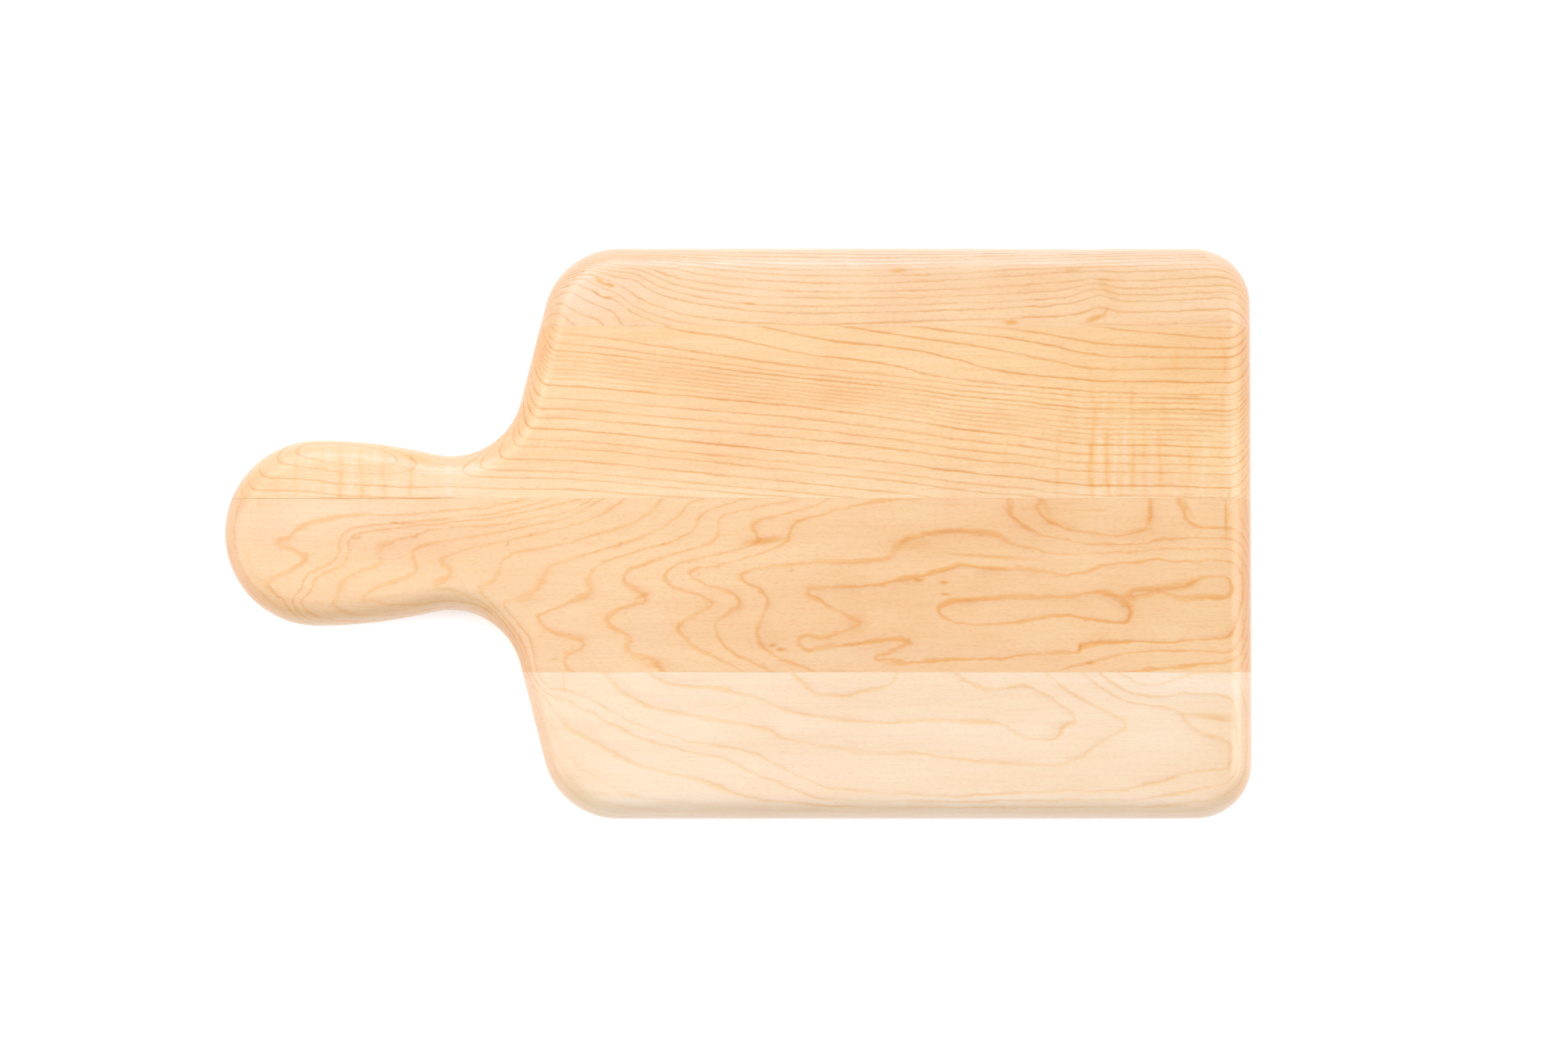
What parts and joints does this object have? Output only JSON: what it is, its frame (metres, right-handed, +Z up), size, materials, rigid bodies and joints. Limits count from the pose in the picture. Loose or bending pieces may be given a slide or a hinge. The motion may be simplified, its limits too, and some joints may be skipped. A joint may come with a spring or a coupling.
{
  "type": "cutting board",
  "caption": "Flat wooden cutting board with a rounded paddle handle, glued up from side-by-side staves, for chopping and serving food.",
  "frame": {"origin": "middle of the underside, on the surface that the board lies on", "axes": "+X along the board from the handle to the square end, +Y across the staves towards the narrow edge stave, +Z up out of the cutting face"},
  "size_m": [0.365, 0.203, 0.019],
  "materials": {
    "maple_narrow_edge": "sanded maple, rift sawn with fine close rings, oiled",
    "maple_straight_grain": "sanded maple, straight grained with some curl, oiled",
    "maple_handle": "sanded maple, flat sawn with peaked figure, oiled",
    "maple_pale_edge": "sanded pale maple sapwood, flat sawn, oiled",
    "wood_glue": "cured wood glue, sanded flush"
  },
  "bodies": {
    "root": {"narrow_edge_stave": "maple_narrow_edge", "straight_grain_stave": "maple_straight_grain", "handle_stave": "maple_handle", "pale_edge_stave": "maple_pale_edge", "narrow_edge_glue_line": "wood_glue", "handle_glue_line": "wood_glue", "pale_edge_glue_line": "wood_glue"}
  },
  "joints": []
}
